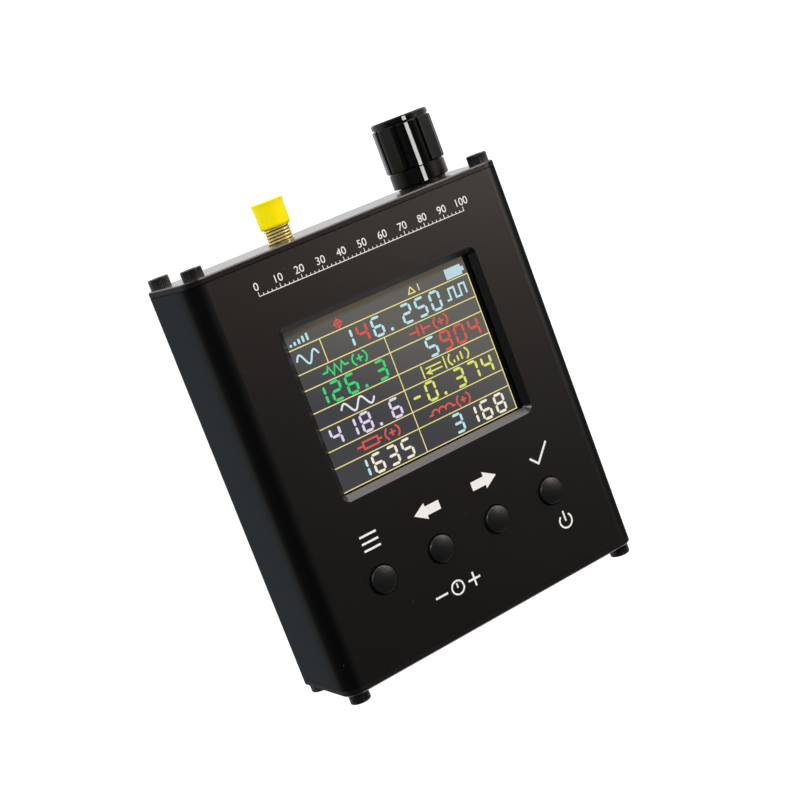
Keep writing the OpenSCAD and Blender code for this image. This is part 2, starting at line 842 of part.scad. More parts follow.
module encoder_switch() {
    color([0.1, 0.1, 0.1])
    on_knob_axis()
    difference() {
        along_y(switch_back_y, housing_y - switch_back_y)
            square(encoder_w - 4, center = true);
        bar_y(tail_r + seat_gap, switch_recess_y, encoder_t);
    }
}

module encoder_board() {
    color(board_green)
    on_knob_axis()
    along_y(encoder_board_y, encoder_board_t)
        square([encoder_board_w, encoder_w], center = true);
}

module encoder_washer() {
    color(steel)
    on_knob_axis()
    along_y(plate_t, washer_t)
    difference() {
        circle(d = washer_d);
        circle(r = bushing_d / 2 + run_gap);
    }
}

module encoder_nut() {
    color(steel)
    on_knob_axis()
    along_y(plate_t + washer_t, nut_t)
    difference() {
        circle(r = nut_af / 2 / cos(30), $fn = 6);
        circle(r = bushing_d / 2 + run_gap);
    }
}

// ---- radio port ----------------------------------------------------------

module on_port_axis() {
    translate([-port_x, tube_end, axis_z]) children();
}

module port_body() {
    insulator_r = insulator_d / 2 + run_gap;
    color(gold)
    on_port_axis()
    difference() {
        union() {
            along_y(-port_base_t, port_base_t) square(port_base_w, center = true);
            bar_y(thread_d / 2, 0, barrel_top_y - 0.3);
            bar_y(thread_d / 2, barrel_top_y - 0.3, 0.3, thread_d / 2 - 0.3);
            for (sx = [-1, 1], sz = [-1, 1])
                translate([sx * (port_base_w / 2 - leg_w / 2), -port_base_t - leg_l / 2,
                        sz * (board_t / 2 + rest_gap + leg_w / 2)])
                    cube([leg_w, leg_l + 0.2, leg_w], center = true);
        }
        bar_y(insulator_r, -port_base_t - cut, barrel_top_y + 2 * cut + port_base_t);
        bar_y(insulator_r + 0.2, barrel_top_y - face_recess, face_recess + cut);
    }
}

module port_insulator() {
    color([0.95, 0.95, 0.93])
    on_port_axis()
    difference() {
        bar_y(insulator_d / 2, -port_base_t, barrel_top_y - face_recess + port_base_t);
        bar_y(contact_d / 2 + rest_gap, -port_base_t - cut, barrel_top_y + port_base_t + cut);
    }
}

module port_contact() {
    pin_y = -port_base_t - leg_l * 0.8;
    color(gold)
    on_port_axis()
    difference() {
        bar_y(contact_d / 2, pin_y, barrel_top_y - face_recess - pin_y);
        bar_y(contact_d * 0.37, barrel_top_y - face_recess - 3, 3 + cut);
    }
}

module dust_cap() {
    r = dust_d / 2;
    low_r = r - dust_draw;
    bore_r = thread_d / 2 + run_gap;
    lip = (low_r - bore_r) * 0.8;
    flare_y = dust_top_y - dust_flare_h;
    color([0.97, 0.87, 0.08])
    on_port_axis()
    rotate([-90, 0, 0])
    difference() {
        rotate_extrude()
        polygon(concat(
            [[0, dust_low_y]],
            [for (p = arc([0, 0], 1, -90, 0, 5))
                [low_r - lip + lip * p[0], dust_low_y + dust_round + dust_round * p[1]]],
            [for (i = [0:6]) let (t = i / 6)
                [r + dust_rim * t * t, flare_y + t * (dust_flare_h - dust_bevel)]],
            [[r + dust_rim - dust_bevel, dust_top_y], [0, dust_top_y]]
        ));
        translate([0, 0, dust_low_y - cut])
            cylinder(r = bore_r, h = barrel_top_y + rest_gap - dust_low_y + cut);
    }
}

// ---- main board ----------------------------------------------------------

module main_board() {
    base_notch = port_base_w + 2 * seat_gap;
    pin_notch = contact_d + 2 * seat_gap;
    color(board_green)
    board(main_low_z) {
        translate([-port_x - base_notch / 2, tube_end - port_base_t - rest_gap])
            square([base_notch, port_base_t + cut]);
        translate([-port_x - pin_notch / 2, tube_end - port_base_t - leg_l])
            square([pin_notch, port_base_t + leg_l]);
    }
}

module processor() {
    color([0.08, 0.08, 0.09])
    translate([-chip_x, -chip_y, main_top_z])
        linear_extrude(chip_t) rounded(chip_w, chip_w, chip_w / 30);
}

module on_shield() {
    translate([-port_x, tube_end - port_base_t - leg_l - 1 - shield_l / 2, main_top_z]) children();
}

// upright walls of the shielding can, or its lid one sheet further out
module shield_sheet(out) {
    rounded(shield_w + 2 * out, shield_l + 2 * out, 1 + out);
}

module shield_frame() {
    color(steel)
    on_shield()
    linear_extrude(shield_h - shield_t)
    difference() {
        shield_sheet(0);
        shield_sheet(-shield_t);
    }
}

module shield_lid() {
    skirt = shield_h * 0.6;
    color(steel)
    on_shield()
    translate([0, 0, shield_h - shield_t - skirt])
    difference() {
        linear_extrude(skirt + shield_t) shield_sheet(run_gap + shield_t);
        translate([0, 0, -cut]) linear_extrude(skirt + cut) shield_sheet(run_gap);
    }
}

module board_header() {
    color([0.12, 0.12, 0.12])
    translate([0, -tube_end + usb_l + 3, main_top_z])
        linear_extrude(board_low_z - main_top_z)
            square([header_l, header_w], center = true);
}

module charging_socket() {
    wall = 0.3;
    front_y = -tube_end - usb_reach;
    color(steel)
    translate([0, 0, main_top_z + usb_h / 2]) {
        difference() {
            along_y(front_y, usb_l) rounded(usb_w, usb_h, 0.6);
            along_y(front_y - cut, usb_l - 0.5 + cut)
                rounded(usb_w - 2 * wall, usb_h - 2 * wall, 0.4);
        }
        along_y(front_y + 0.6, usb_l - 0.8) square([usb_w / 2, 0.6], center = true);
    }
}

// ---- power ---------------------------------------------------------------

module battery_pack() {
    seal_l = 3;
    body_l = battery_l - seal_l;
    side_r = battery_t * 0.31;
    color([0.6, 0.62, 0.65])
    translate([0, battery_y - battery_l / 2, battery_z]) {
        translate([0, 0, battery_t / 2])
            along_y(0, body_l) rounded(battery_w, battery_t, side_r);
        translate([-battery_w / 2 + side_r, body_l - 0.1, 0])
            cube([battery_w - 2 * side_r, seal_l + 0.1, seal_t]);
    }
}

module battery_pad() {
    margin = 4;
    color([0.2, 0.2, 0.2])
    translate([0, battery_y, back_wall + pad_t / 2])
        cube([battery_w - 2 * margin, battery_l - 2 * margin, pad_t], center = true);
}

// tube along a way whose points lie in one plane of constant X
function ring_points(way, r) =
    let (last = len(way) - 1)
    [for (i = [0:last])
        let (
            d = way[min(i + 1, last)] - way[max(i - 1, 0)],
            t = d / norm(d),
            up = cross(t, [1, 0, 0])
        )
        for (k = [0:lead_sides - 1])
            way[i] + r * (cos(k * 360 / lead_sides) * [1, 0, 0]
                + sin(k * 360 / lead_sides) * up)];

function tube_faces(rings, n) = concat(
    [[for (k = [0:n - 1]) k]],
    [for (i = [0:rings - 2], k = [0:n - 1])
        each [
            [i * n + k, (i + 1) * n + k, i * n + (k + 1) % n],
            [i * n + (k + 1) % n, (i + 1) * n + k, (i + 1) * n + (k + 1) % n]
        ]],
    [[for (k = [n - 1:-1:0]) (rings - 1) * n + k]]
);

module battery_leads() {
    color([0.75, 0.1, 0.08])
    for (s = [-1, 1])
        translate([plug_x + s * lead_pitch / 2, 0, 0])
            polyhedron(
                ring_points(lead_way, lead_d / 2),
                tube_faces(len(lead_way), lead_sides)
            );
}

module battery_plug() {
    color([0.92, 0.92, 0.88])
    translate([plug_x - plug_w / 2, plug_y, plug_z - plug_h / 2])
        cube([plug_w, plug_l, plug_h]);
}

module battery_socket() {
    wall = socket_wall;
    bottom_z = plug_z - plug_h / 2 - wall;
    color([0.92, 0.9, 0.84])
    difference() {
        translate([plug_x - plug_w / 2 - seat_gap - wall, plug_y + plug_l * 0.45, bottom_z])
            cube([plug_w + 2 * (seat_gap + wall), plug_l * 0.55 + rest_gap + wall,
                main_low_z - bottom_z]);
        translate([plug_x - plug_w / 2 - seat_gap, plug_y, plug_z - plug_h / 2 - seat_gap])
            cube([plug_w + 2 * seat_gap, plug_l + rest_gap, plug_h + 2 * seat_gap]);
    }
}

// ---- what is drawn -------------------------------------------------------

case_tube();
top_plate();
bottom_plate();
plate_screws();
display_gasket();
display_glass();
display_tray();
display_bracket();
display_flex();
flex_socket();
display_board();
tact_switches();
button_cap(0);  // menu_cap
button_cap(1);  // left_cap
button_cap(2);  // right_cap
button_cap(3);  // confirm_cap
plunger(0);  // menu_plunger
plunger(1);  // left_plunger
plunger(2);  // right_plunger
plunger(3);  // confirm_plunger
knob();
knob_pointer();
encoder_shaft();
encoder_rotor();
encoder_housing();
encoder_bushing();
encoder_frame();
encoder_switch();
encoder_board();
encoder_washer();
encoder_nut();
port_body();
port_insulator();
port_contact();
dust_cap();
main_board();
processor();
shield_frame();
shield_lid();
board_header();
charging_socket();
battery_pack();
battery_pad();
battery_leads();
battery_plug();
battery_socket();
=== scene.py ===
"""Looks of the handheld antenna analyzer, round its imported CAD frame. Lengths are metres, or
millimetres where a line multiplies them by MM."""

import math

import bpy
from mathutils import Matrix, Vector


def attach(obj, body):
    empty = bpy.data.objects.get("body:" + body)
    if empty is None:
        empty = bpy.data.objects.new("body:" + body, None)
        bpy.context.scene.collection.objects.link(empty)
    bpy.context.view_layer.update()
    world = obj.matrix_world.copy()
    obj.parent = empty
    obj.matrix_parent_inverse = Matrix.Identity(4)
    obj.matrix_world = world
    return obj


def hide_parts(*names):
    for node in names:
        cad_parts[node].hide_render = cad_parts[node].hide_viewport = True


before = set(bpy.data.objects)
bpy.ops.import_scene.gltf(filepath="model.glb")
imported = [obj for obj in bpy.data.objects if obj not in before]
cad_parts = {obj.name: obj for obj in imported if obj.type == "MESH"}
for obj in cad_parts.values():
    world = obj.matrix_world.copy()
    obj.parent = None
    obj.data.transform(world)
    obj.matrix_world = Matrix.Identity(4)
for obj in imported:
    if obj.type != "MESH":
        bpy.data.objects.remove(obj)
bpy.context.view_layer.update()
bpy.ops.object.select_all(action="DESELECT")

MM = 0.001
CASE_W, CASE_D, TUBE_END, PLATE_T = 83.2, 27.4, 47.3, 1.5
FACE_Z = CASE_D
GLASS_Z = 25.4
PANEL_T, LIT_T, INK_T = 0.02, 0.01, 0.02
SCREEN_Z = GLASS_Z + PANEL_T
PORT_X, AXIS_Z = -11.3, 13.7
THREAD_MAJOR, THREAD_PITCH = 3.1, 0.7056
PIXELS_PER_MM = 320 / 48.96

# Distances from the middle, along X, over which one finish gives way to the next; from WALL_STARTS
# on, the walls carry a painted floor reflection.
EDGE_STARTS = (37.7, 39.6)
WALL_STARTS = (40.8, 41.5)


# ---- shader tools ---------------------------------------------------------


class Wire:
    """An output of a shader node that takes part in Python sums."""

    def __init__(self, look, socket):
        self.look = look
        self.socket = socket

    def maths(self, operation, *values):
        sockets = dict(enumerate(values))
        return self.look.node("ShaderNodeMath", {"operation": operation}, sockets)

    def __add__(self, other):
        return self.maths("ADD", self, other)

    def __radd__(self, other):
        return self.maths("ADD", other, self)

    def __sub__(self, other):
        return self.maths("SUBTRACT", self, other)

    def __rsub__(self, other):
        return self.maths("SUBTRACT", other, self)

    def __mul__(self, other):
        return self.maths("MULTIPLY", self, other)

    def __rmul__(self, other):
        return self.maths("MULTIPLY", other, self)

    def __gt__(self, other):
        return self.maths("GREATER_THAN", self, other)

    def __lt__(self, other):
        return self.maths("LESS_THAN", self, other)

    def __abs__(self):
        return self.maths("ABSOLUTE", self)

    def ramp(self, start, end):
        """0 up to start, 1 from end on, and a soft step between them."""
        settings = {"interpolation_type": "SMOOTHSTEP"}
        sockets = {0: self, 1: start, 2: end}
        return self.look.node("ShaderNodeMapRange", settings, sockets)

    def fraction(self):
        return self.maths("FRACT", self)


class Look:
    """A material built node by node round its Principled shader."""

    def __init__(self, name):
        self.material = bpy.data.materials.new(name)
        self.material.use_nodes = True
        self.tree = self.material.node_tree
        self.shader = self.tree.nodes["Principled BSDF"]

    def node(self, kind, settings=None, sockets=None, output=0):
        made = self.tree.nodes.new(kind)
        for key, value in (settings or {}).items():
            setattr(made, key, value)
        for key, value in (sockets or {}).items():
            self.join(made.inputs[key], value)
        return Wire(self, made.outputs[output])

    def join(self, socket, value):
        if isinstance(value, Wire):
            self.tree.links.new(value.socket, socket)
        else:
            socket.default_value = value

    def place(self):
        """Object coordinates in millimetres."""
        metres = self.node("ShaderNodeTexCoord", output="Object")
        return self.node("ShaderNodeVectorMath", {"operation": "SCALE"}, {0: metres, "Scale": 1000})

    def along(self, place, axis):
        return self.node("ShaderNodeSeparateXYZ", None, {0: place}, "XYZ".index(axis))

    def noise(self, place, scale, detail=2.0, roughness=0.5):
        sockets = {"Vector": place, "Scale": scale, "Detail": detail, "Roughness": roughness}
        return self.node("ShaderNodeTexNoise", None, sockets)

    def stretched(self, place, x, y, z):
        return self.node("ShaderNodeMapping", None, {"Vector": place, "Scale": (x, y, z)})

    def mix(self, factor, low, high):
        """Colour between low, where factor is 0, and high, where it is 1."""
        sockets = {0: factor, 6: low, 7: high}
        return self.node("ShaderNodeMix", {"data_type": "RGBA"}, sockets, output=2)

    def specks(self, place, scale, size, share):
        """1 on round specks in a share of the cells of a regular scatter, else 0."""
        cells = {"Vector": place, "Scale": scale}
        distance = self.node("ShaderNodeTexVoronoi", None, cells, "Distance")
        colour = self.node("ShaderNodeTexVoronoi", None, cells, "Color")
        chosen = self.node("ShaderNodeSeparateColor", None, {0: colour}) < share
        return (distance < size) * chosen

    def bump(self, height, depth):
        """Relief whose full height is depth millimetres."""
        return self.node("ShaderNodeBump", None, {"Distance": depth * MM, "Height": height})

    def finish(self, **sockets):
        for key, value in sockets.items():
            self.join(self.shader.inputs[key.replace("_", " ")], value)
        return self.material

    def second_coat(self, mask, **sockets):
        """Adds a second shader, which shows where the mask is 1."""
        first = Wire(self, self.shader.outputs[0])
        self.shader = self.tree.nodes.new("ShaderNodeBsdfPrincipled")
        second = Wire(self, self.shader.outputs[0])
        self.finish(**sockets)
        mixed = self.node("ShaderNodeMixShader", None, {0: mask, 1: first, 2: second})
        self.join(self.tree.nodes["Material Output"].inputs["Surface"], mixed)
        return self.material


def tint(red, green, blue):
    """A colour given as on a screen, 0 to 255."""
    linear = [
        c / 12.92 if c <= 0.04045 else ((c + 0.055) / 1.055) ** 2.4
        for c in (red / 255, green / 255, blue / 255)
    ]
    return (*linear, 1.0)


# ---- finishes -------------------------------------------------------------


def case_paint():
    """Black coat: satin on the face, matt on the rounded edges and the walls, a few dust specks;
    the edges carry painted shade and the walls a painted floor reflection.
    """
    look = Look("matt_black_coat")
    at = look.place()
    drift = look.noise(at, 0.03, 3)
    grain = look.noise(at, 7, 2, 0.6)
    dust = look.specks(at, 0.3, 0.035, 0.3)
    dust_grey = tint(120, 118, 112)
    relief = look.bump(grain, 0.006)
    across = abs(look.along(at, "X"))
    face = look.mix(drift, tint(6, 5, 5), tint(9, 8, 7))
    look.finish(
        Base_Color=look.mix(dust * 0.5, face, dust_grey),
        Roughness=0.31 + 0.06 * grain + 0.03 * drift,
        Specular_IOR_Level=0.5,
        Normal=relief,
    )
    # Painted reflection and shade: below the rounding the walls are painted lighter and bluish,
    # standing in for the floor's reflection, and the rounded edges are painted near black as
    # painted shade.
    painted_wall_reflection = across.ramp(*WALL_STARTS) * (1 - look.along(at, "Z").ramp(19, 24.5))
    wall = look.mix(painted_wall_reflection, tint(3, 3, 3), tint(25, 30, 33))
    return look.second_coat(
        across.ramp(*EDGE_STARTS),
        Base_Color=look.mix(dust * 0.5, wall, dust_grey),
        Roughness=0.7 + 0.15 * grain,
        Specular_IOR_Level=0.06,
        Normal=relief,
    )


def plate_coat():
    """The plates' coat: smoother, with faint rolling marks; matt on the rim and the low seam, with
    painted shade on the rim and a painted floor reflection on the plates' long sides.
    """
    look = Look("satin_black_plate")
    at = look.place()
    rolled = look.noise(look.stretched(at, 0.15, 8, 6), 1, 3, 0.6)
    relief = look.bump(look.noise(at, 9, 2) * 0.6 + rolled * 0.4, 0.004)
    look.finish(
        Base_Color=look.mix(rolled, tint(21, 19, 18), tint(30, 27, 25)),
        Roughness=0.2 + 0.08 * rolled,
        Specular_IOR_Level=0.5,
        Normal=relief,
    )
    across = abs(look.along(at, "X"))
    y = look.along(at, "Y")
    outer_face = abs(y).ramp(48.5, 48.75)
    rim = across.ramp(*EDGE_STARTS) * (1 - outer_face)
    low_seam = y.ramp(-47.65, -47.45) * (1 - y.ramp(-40, -30))
    return look.second_coat(
        rim.maths("MAXIMUM", rim, low_seam),
        # Painted shade and reflection: the rim is painted near black, and the plates' long sides
        # lighter and bluish, standing in for the floor's reflection.
        Base_Color=look.mix(across.ramp(40.6, 41.5), tint(6, 6, 6), tint(20, 24, 27)),
        Roughness=0.7 + 0.1 * rolled,
        Specular_IOR_Level=0.12,
        Normal=relief,
    )


def screw_steel():
    """Black oxide on steel, rubbed a little lighter in patches."""
    look = Look("black_oxide_steel")
    at = look.place()
    rubbed = look.noise(at, 1.6, 4, 0.6)
    return look.finish(
        Base_Color=look.mix(rubbed, tint(7, 7, 8), tint(20, 20, 19)),
        Metallic=0.08 * rubbed,
        Roughness=0.3 + 0.14 * rubbed,
        Specular_IOR_Level=0.4,
        Normal=look.bump(look.noise(at, 12, 2), 0.006),
    )


def knob_gloss():
    """Glossy black plastic with hair-fine scratches and slight waviness."""
    look = Look("glossy_black_plastic")
    at = look.place()
    scratches = look.noise(look.stretched(at, 14, 0.8, 14), 1, 3, 0.6)
    wave = look.noise(at, 0.35, 2)
    return look.finish(
        Base_Color=look.mix(wave, tint(3, 4, 4), tint(6, 7, 7)),
        Roughness=0.24 + 0.12 * scratches,
        Specular_IOR_Level=0.17,
        Normal=look.bump(wave * 0.8 + scratches * 0.05, 0.02),
    )


def pointer_paint():
    look = Look("pointer_white_paint")
    at = look.place()
    edge = look.noise(at, 4, 3)
    return look.finish(
        Base_Color=look.mix(edge, tint(196, 200, 194), tint(222, 224, 218)),
        Roughness=0.35 + 0.2 * edge,
        Normal=look.bump(edge, 0.02),
    )


def face_ink():
    """Screen-printed white ink with the weave of the screen and small pinholes."""
    look = Look("printed_white_ink")
    at = look.place()
    weave = look.noise(at, 5, 2)
    holes = look.specks(at, 4, 0.12, 0.12)
    ink = look.mix(weave, tint(236, 234, 229), tint(250, 249, 245))
    return look.finish(
        Base_Color=look.mix(holes * 0.7, ink, tint(40, 38, 36)),
        Roughness=0.55 + 0.15 * weave,
        Normal=look.bump(weave, 0.006),
    )


def button_plastic():
    """Satin black moulded caps with a fine spark-eroded texture."""
    look = Look("satin_black_caps")
    at = look.place()
    texture = look.noise(at, 11, 2, 0.6)
    handled = look.noise(at, 0.7, 3)
    return look.finish(
        Base_Color=look.mix(handled, tint(12, 13, 13), tint(18, 19, 18)),
        Roughness=0.26 + 0.1 * texture + 0.06 * handled,
        Specular_IOR_Level=0.5,
        Normal=look.bump(texture, 0.006),
    )


def gold_plate():
    """Gold plating over turned brass: faint turning marks, and painted shade darkening the thread's
    roots.
    """
    look = Look("gold_plated_brass")
    at = look.place()
    turned = look.noise(look.stretched(at, 0.6, 14, 0.6), 1, 2)
    tone = look.noise(at, 0.5, 3)
    across = look.along(at, "X") - PORT_X
    up = look.along(at, "Z") - AXIS_Z
    square = across * across + up * up
    radius = square.maths("SQRT", square)
    outside_bore, flank = radius.ramp(2.5, 2.6), radius.ramp(2.82, 2.96)
    root_shade = outside_bore * (1 - flank)
    plating = look.mix(tone, tint(255, 226, 128), tint(255, 240, 168))
    return look.finish(
        # Painted shade: the thread's roots are painted dark brown, where shade falls between the
        # ridges.
        Base_Color=look.mix(root_shade * 0.92, plating, tint(58, 34, 8)),
        Metallic=0.55,
        Roughness=0.2 + 0.06 * turned,
        Normal=look.bump(turned, 0.0002),
    )


def cap_vinyl():
    """Soft yellow moulded cap, slightly mottled, with a dull sheen."""
    look = Look("yellow_soft_cap")
    at = look.place()
    cloud = look.noise(at, 0.5, 3)
    skin = look.noise(at, 7, 3)
    return look.finish(
        Base_Color=look.mix(cloud, tint(250, 228, 0), tint(255, 238, 4)),
        Roughness=0.42 + 0.14 * skin,
        Specular_IOR_Level=0.1,
        Normal=look.bump(skin * 0.3 + cloud * 0.7, 0.03),
    )


def plain_plastic(name, dark, light, roughness, relief=0.01):
    """Moulded plastic with a soft mottle and a fine skin."""
    look = Look(name)
    at = look.place()
    mottle = look.noise(at, 0.8, 3)
    skin = look.noise(at, 9, 2)
    return look.finish(
        Base_Color=look.mix(mottle, dark, light),
        Roughness=roughness + 0.12 * skin,
        Normal=look.bump(skin, relief),
    )


def bare_metal(name, dark, light, roughness, stretch=(1, 1, 1)):
    """Bare metal with a directional grain."""
    look = Look(name)
    at = look.place()
    grain = look.noise(look.stretched(at, *stretch), 3, 4, 0.6)
    return look.finish(
        Base_Color=look.mix(grain, dark, light),
        Metallic=1.0,
        Roughness=roughness + 0.18 * grain,
        Normal=look.bump(grain, 0.006),
    )


def foam():
    look = Look("black_cell_foam")
    at = look.place()
    cells = look.node("ShaderNodeTexVoronoi", None, {"Vector": at, "Scale": 5}, "Distance")
    return look.finish(
        Base_Color=look.mix(cells, tint(16, 16, 17), tint(44, 44, 45)),
        Roughness=0.9,
        Normal=look.bump(cells, 0.12),
    )


def glass_border():
    """Display glass outside the picture: black print under polished glass."""
    look = Look("display_glass_border")
    at = look.place()
    smear = look.noise(at, 0.15, 4)
    return look.finish(
        Base_Color=look.mix(smear, tint(3, 3, 3), tint(7, 7, 7)),
        Roughness=0.05 + 0.05 * smear,
        Specular_IOR_Level=0.5,
        Normal=look.bump(smear, 0.002),
    )


def flat_cable():
    """Amber film with copper tracks that run along it."""
    look = Look("amber_film_cable")
    at = look.place()
    tracks = (look.along(at, "Y") * 2).fraction() > 0.5
    tone = look.noise(at, 1.2, 3)
    film = look.mix(tone, tint(150, 84, 22), tint(176, 104, 34))
    return look.finish(
        Base_Color=look.mix(tracks, film, tint(206, 130, 66)),
        Roughness=0.3 + 0.1 * tone,
        Normal=look.bump(tracks, 0.02),
    )


def circuit_board():
    """Green solder mask over tracks, with tinned vias."""
    look = Look("green_circuit_board")
    at = look.place()
    cells = {"Vector": at, "Scale": 0.35}
    to_edge = {"feature": "DISTANCE_TO_EDGE"}
    tracks = look.node("ShaderNodeTexVoronoi", to_edge, cells, "Distance") < 0.07
    vias = look.specks(at, 0.45, 0.13, 0.5)
    tone = look.noise(at, 0.4, 3)
    mask = look.mix(tone, tint(8, 72, 44), tint(14, 92, 56))
    traced = look.mix(tracks, mask, tint(28, 128, 78))
    return look.finish(
        Base_Color=look.mix(vias, traced, tint(196, 188, 160)),
        Metallic=vias * 0.9,
        Roughness=0.34 + 0.1 * tone,
        Normal=look.bump(tracks * 0.6 + vias, 0.035),
    )


def battery_foil():
    look = Look("crinkled_battery_foil")
    at = look.place()
    crease = look.noise(at, 0.45, 5, 0.65)
    return look.finish(
        Base_Color=look.mix(crease, tint(128, 132, 138), tint(196, 200, 204)),
        Metallic=0.8,
        Roughness=0.26 + 0.2 * crease,
        Normal=look.bump(crease, 0.25),
    )


def pixel_gaps(look, at):
    """1 between the display's rows and columns of pixels, else 0."""
    column = (look.along(at, "X") * PIXELS_PER_MM).fraction() > 0.86
    row = (look.along(at, "Y") * PIXELS_PER_MM).fraction() > 0.88
    return column.maths("MAXIMUM", column, row)


def screen_ground():
    """Lit but dark picture: rows of pixels over a mottled backlight, paler in the header, with a
    painted reflection of a bright panel that brightens it towards the upper right.
    """
    look = Look("lit_picture_ground")
    at = look.place()
    glow = look.noise(at, 0.045, 2)
    across, height = look.along(at, "X"), look.along(at, "Y")
    reflection_slant = 0.6 * across + height
    ground = look.mix(glow, tint(64, 65, 69), tint(71, 71, 73))
    # Painted reflection: the ground brightens towards the upper right, and the header from left to
    # right, standing in for a bright panel reflected in the glass.
    ground = look.mix(reflection_slant.ramp(-4, 30), ground, tint(103, 101, 96))
    header = look.mix(across.ramp(-26, -12), tint(62, 58, 53), tint(90, 81, 69))
    ground = look.mix(height.ramp(28.9, 30.3), ground, header)
    return look.finish(
        Base_Color=tint(6, 6, 7),
        Emission_Color=look.mix(pixel_gaps(look, at) * 0.3, ground, tint(26, 26, 29)),
        Emission_Strength=1.0,
        Roughness=0.06 + 0.04 * glow,
        Specular_IOR_Level=0.4,
    )


def lit_colour(name, red, green, blue):
    """Lit pixels of one colour, split into the panel's rows and columns."""
    look = Look(name)
    at = look.place()
    lit = tint(red, green, blue)
    dim = tint(red * 0.8, green * 0.8, blue * 0.8)
    return look.finish(
        Base_Color=tint(12, 12, 13),
        Emission_Color=look.mix(pixel_gaps(look, at), lit, dim),
        Emission_Strength=1.0,
        Roughness=0.1,
        Specular_IOR_Level=0.3,
    )


# ---- modelling tools ------------------------------------------------------


def pick(obj):
    bpy.ops.object.select_all(action="DESELECT")
    obj.select_set(True)
    bpy.context.view_layer.objects.active = obj


def modify(obj, kind, **settings):
    """Adds a modifier, sets it and applies it."""
    pick(obj)
    modifier = obj.modifiers.new(kind.lower(), kind)
    for key, value in settings.items():
        setattr(modifier, key, value)
    bpy.ops.object.modifier_apply(modifier=modifier.name)


def carve(obj, tool, operation="DIFFERENCE"):
    modify(obj, "BOOLEAN", object=tool, operation=operation, solver="EXACT")
    bpy.data.objects.remove(tool)


def clean(obj, apart=1e-6):
    """Merges what coincides and turns all faces outwards."""
    pick(obj)
    bpy.ops.object.mode_set(mode="EDIT")
    bpy.ops.mesh.select_all(action="SELECT")
    bpy.ops.mesh.remove_doubles(threshold=apart)
    bpy.ops.mesh.normals_make_consistent(inside=False)
    bpy.ops.object.mode_set(mode="OBJECT")


def bevel_end(obj, end_y, centre, offset, segments):
    """In edit mode, bevels the edge round the end of a bar at end_y; centre is its (x, z)."""
    inner = 2.0
    bpy.ops.mesh.select_mode(type="EDGE")
    bpy.ops.mesh.select_all(action="DESELECT")
    bpy.ops.object.mode_set(mode="OBJECT")
    mesh = obj.data
    for edge in mesh.edges:
        a, b = (mesh.vertices[i].co for i in edge.vertices)
        x, y, z = (a + b) / 2 / MM
        from_axis = math.hypot(x - centre[0], z - centre[1])
        edge.select = y > end_y - 0.01 and from_axis > inner
    bpy.ops.object.mode_set(mode="EDIT")
    bpy.ops.mesh.bevel(offset=offset * MM, segments=segments)


def bar(name, radius, y0, y1, x=0.0, z=0.0, sides=96):
    """Round bar along Y, in millimetres."""
    bpy.ops.mesh.primitive_cylinder_add(
        vertices=sides,
        radius=radius * MM,
        depth=(y1 - y0) * MM,
        location=(x * MM, (y0 + y1) / 2 * MM, z * MM),
        rotation=(math.pi / 2, 0, 0),
    )
    bpy.ops.object.transform_apply(location=True, rotation=True, scale=True)
    made = bpy.context.object
    made.name = name
    return made


def block(name, low, high):
    """Box between two corners, in millimetres."""
    size = [h - l for l, h in zip(low, high)]
    middle = [(h + l) / 2 for l, h in zip(low, high)]
    bpy.ops.mesh.primitive_cube_add(size=MM, location=[c * MM for c in middle])
    bpy.context.object.scale = size
    bpy.ops.object.transform_apply(location=True, rotation=True, scale=True)
    made = bpy.context.object
    made.name = name
    return made


def dress(obj, finish, body="root", smooth=30):
    """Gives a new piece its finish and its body."""
    obj.data.materials.clear()
    obj.data.materials.append(finish)
    pick(obj)
    bpy.ops.object.shade_smooth_by_angle(angle=math.radians(smooth))
    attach(obj, body)
    return obj


# ---- flat signs -----------------------------------------------------------


def ribbon(points, width, closed=False):
    """Outline of a line of even width through the points, with mitred corners."""
    sides = ([], [])
    count = len(points)
    for i, point in enumerate(points):
        before = points[i - 1] if closed or i else None
        after = points[(i + 1) % count] if closed or i < count - 1 else None
        ways = []
        for a, b in ((before, point), (point, after)):
            if a is not None and b is not None:
                ways.append((Vector(b) - Vector(a)).normalized())
        way = sum(ways, Vector((0, 0))).normalized()
        stretch = min(1 / max(way.dot(ways[0]), 0.3), 2)
        across = Vector((-way.y, way.x)) * width / 2 * stretch
        sides[0].append(tuple(Vector(point) + across))
        sides[1].append(tuple(Vector(point) - across))
    if closed:
        return [sides[0], sides[1]]
    return [sides[0] + sides[1][::-1]]


def arc(x, y, radius, start, end, steps=24):
    """Points on an arc, in degrees anticlockwise from +X."""
    angles = [math.radians(start + (end - start) * i / steps) for i in range(steps + 1)]
    return [(x + radius * math.cos(a), y + radius * math.sin(a)) for a in angles]


def ring(x, y, radius, width):
    """Outlines of a closed ring."""
    return ribbon(arc(x, y, radius, 0, 345, 23), width, closed=True)


def oblong(x0, y0, x1, y1):
    """Outline of a rectangle."""
    return [[(x0, y0), (x1, y0), (x1, y1), (x0, y1)]]


def plate(name, outlines, low_z, thick):
    """Thin plates of the given outlines, in millimetres; one inside another is a hole."""
    curve = bpy.data.curves.new(name, "CURVE")
    curve.dimensions = "2D"
    curve.fill_mode = "BOTH"
    curve.extrude = thick / 2
    for outline in outlines:
        spline = curve.splines.new("POLY")
        spline.points.add(len(outline) - 1)
        for point, (x, y) in zip(spline.points, outline):
            point.co = (x, y, 0, 1)
        spline.use_cyclic_u = True
    made = bpy.data.objects.new(name, curve)
    bpy.context.scene.collection.objects.link(made)
    pick(made)
    bpy.ops.object.convert(target="MESH")
    made = bpy.context.object
    made.data.transform(Matrix.Translation((0, 0, low_z + thick / 2)))
    return made


